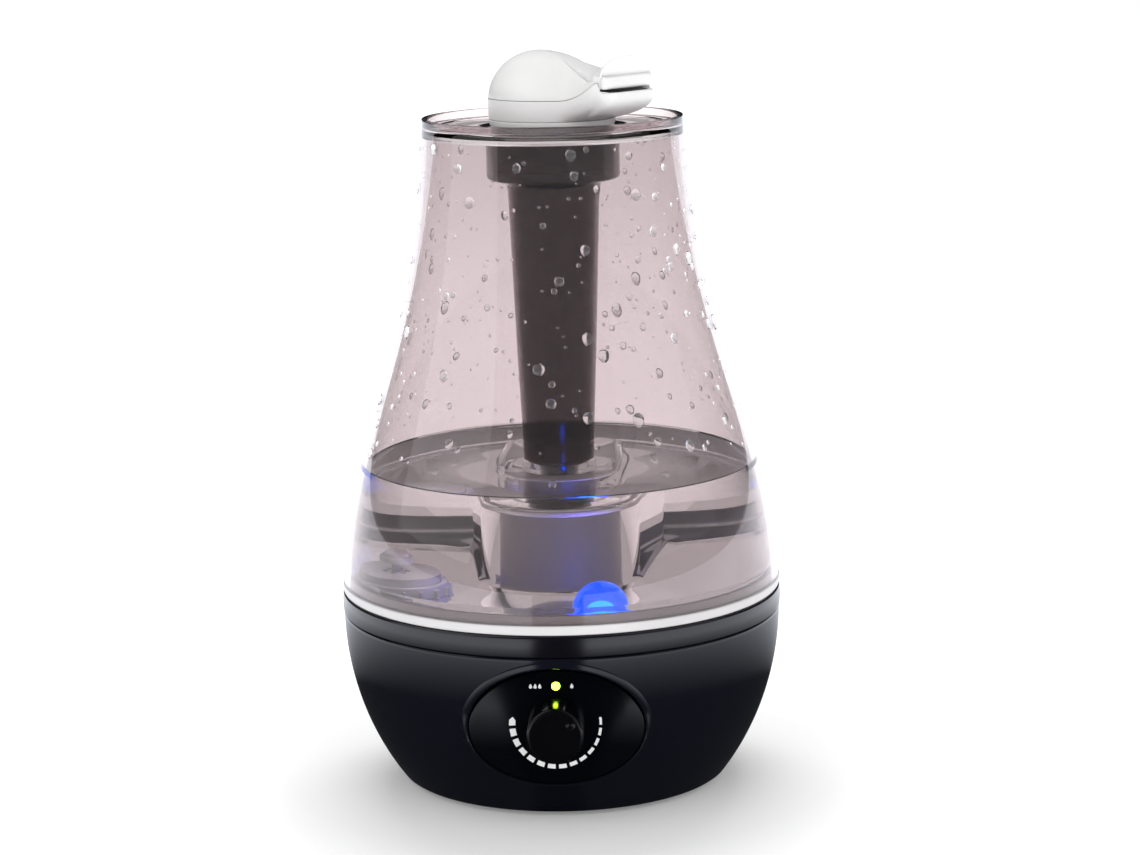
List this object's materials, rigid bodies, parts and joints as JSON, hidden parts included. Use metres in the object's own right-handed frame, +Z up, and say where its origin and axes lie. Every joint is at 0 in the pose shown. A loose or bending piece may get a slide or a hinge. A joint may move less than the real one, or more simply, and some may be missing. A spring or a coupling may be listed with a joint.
{
  "type": "cool mist humidifier",
  "caption": "Teardrop ultrasonic humidifier: tinted water tank with a central mist tube and a turning nozzle, on a round base with an oval control panel.",
  "frame": {"origin": "on the tank's axis, at the surface that the feet stand on", "axes": "+Z up along the tank axis, -Y towards the control knob, +X to the right seen from the front"},
  "size_m": [0.1912, 0.1986, 0.3156],
  "materials": {
    "bowl_black": "polished",
    "basin_black": "polished",
    "plate_black": "fine texture",
    "panel_black": "polished",
    "knob_black": "satin",
    "rubber_grey": "matte",
    "rubber_dark": "matte",
    "silicone": "matte",
    "steel": "plain",
    "zinc": "plated",
    "alu": "plain",
    "board_green": "solder mask",
    "component": "moulded",
    "ceramic_disc": "plated",
    "blower_black": "moulded",
    "fan_grey": "moulded",
    "white_plastic": "satin",
    "nozzle_white": "satin",
    "tank_smoke": "clear, smoke tinted",
    "tube_smoke": "clear, smoke tinted",
    "dome_blue": "clear, lit",
    "led_green": "lit",
    "window_clear": "clear",
    "wire_red": "insulation",
    "wire_blue": "insulation",
    "magnet": "sintered"
  },
  "bodies": {
    "base": {"base_bowl": "bowl_black", "basin": "basin_black", "bottom_plate": "plate_black", "feet": "rubber_dark", "bottom_screws": "zinc", "basin_screws": "zinc", "basin_seal": "rubber_grey", "control_panel": "panel_black", "led_lens": "led_green", "led_board": "board_green", "potentiometer": "steel", "pot_nut": "steel", "main_board": "board_green", "board_parts": "component", "heat_sink": "alu", "transducer_disc": "ceramic_disc", "transducer_gasket": "silicone", "transducer_retainer": "steel", "transducer_screws": "zinc", "blower_housing": "blower_black", "fan_motor": "steel", "blower_screws": "zinc", "air_duct": "blower_black", "float_clip": "white_plastic", "reed_switch": "window_clear", "light_window": "window_clear", "light_led": "window_clear", "light_board": "board_green", "power_jack": "component", "fan_wires": "wire_red", "transducer_wires": "wire_blue", "jack_wires": "wire_red"},
    "knob": {"knob": "knob_black", "knob_shaft": "alu"},
    "fan": {"fan_shaft": "steel", "fan_impeller": "fan_grey"},
    "float": {"float_ring": "white_plastic", "float_magnet": "magnet"},
    "tank": {"tank_shell": "tank_smoke", "mist_tube": "tube_smoke", "tube_seal": "silicone", "tank_bottom": "white_plastic", "light_dome": "dome_blue", "dome_seal": "silicone"},
    "filler_cap": {"filler_cap": "white_plastic", "cap_gasket": "silicone"},
    "valve": {"valve_plunger": "white_plastic", "valve_seal": "rubber_grey", "valve_spring": "steel"},
    "nozzle_base": {"nozzle_base": "nozzle_white", "nozzle_seal": "silicone"},
    "nozzle_head": {"nozzle_body": "nozzle_white", "nozzle_cover": "nozzle_white"}
  },
  "joints": [
    {"name": "tank_lift", "type": "slide", "parent": "base", "child": "tank", "axis": [0, 0, 1], "range_m": [0, 0.12]},
    {"name": "nozzle_lift", "type": "slide", "parent": "tank", "child": "nozzle_base", "axis": [0, 0, 1], "range_m": [0, 0.04]},
    {"name": "nozzle_turn", "type": "hinge", "parent": "nozzle_base", "child": "nozzle_head", "pos_m": [0, 0, 0.29], "axis": [0, 0, 1], "continuous": true},
    {"name": "knob_turn", "type": "hinge", "parent": "base", "child": "knob", "pos_m": [0, -0.09, 0.0445], "axis": [0, 1, 0], "range_deg": [-20, 270]},
    {"name": "float_slide", "type": "slide", "parent": "base", "child": "float", "axis": [0, 0, 1], "range_m": [0, 0.0075]},
    {"name": "fan_spin", "type": "hinge", "parent": "base", "child": "fan", "pos_m": [0.018, 0.014, 0.02], "axis": [0, 0, 1], "continuous": true},
    {"name": "cap_turn", "type": "hinge", "parent": "tank", "child": "filler_cap", "pos_m": [-0.058, -0.019, 0.085], "axis": [0, 0, 1], "range_deg": [0, 90]},
    {"name": "valve_slide", "type": "slide", "parent": "filler_cap", "child": "valve", "axis": [0, 0, 1], "range_m": [-0.004, 0], "deforming": ["valve_spring"]}
  ],
  "couplings": [
    {"joint": "valve_slide", "follows": "tank_lift", "ratio": -0.033333}
  ]
}
